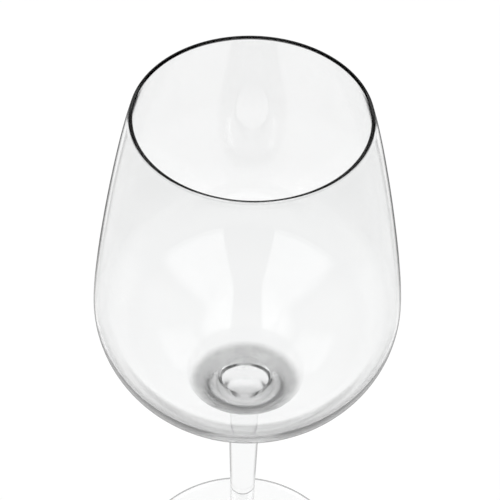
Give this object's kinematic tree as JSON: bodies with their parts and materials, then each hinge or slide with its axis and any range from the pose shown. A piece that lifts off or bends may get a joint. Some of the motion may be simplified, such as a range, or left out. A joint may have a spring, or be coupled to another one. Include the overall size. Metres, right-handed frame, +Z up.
{
  "type": "wine glass",
  "caption": "Clear stemmed wine glass: a tall egg-shaped bowl that narrows to a thin round rim, on a slim drawn stem and a wide shallow foot.",
  "frame": {"origin": "centre of the foot's resting plane, on the glass's axis", "axes": "+Z up along the axis of the glass, from the foot to the rim; the glass is round about Z"},
  "size_m": [0.094, 0.094, 0.226],
  "materials": {
    "bowl_glass": "clear blown glass, fire-polished at the rim",
    "stem_glass": "clear drawn glass",
    "foot_glass": "clear spun glass with faint tooling rings"
  },
  "bodies": {
    "root": {"bowl": "bowl_glass", "stem": "stem_glass", "foot": "foot_glass"}
  },
  "joints": []
}
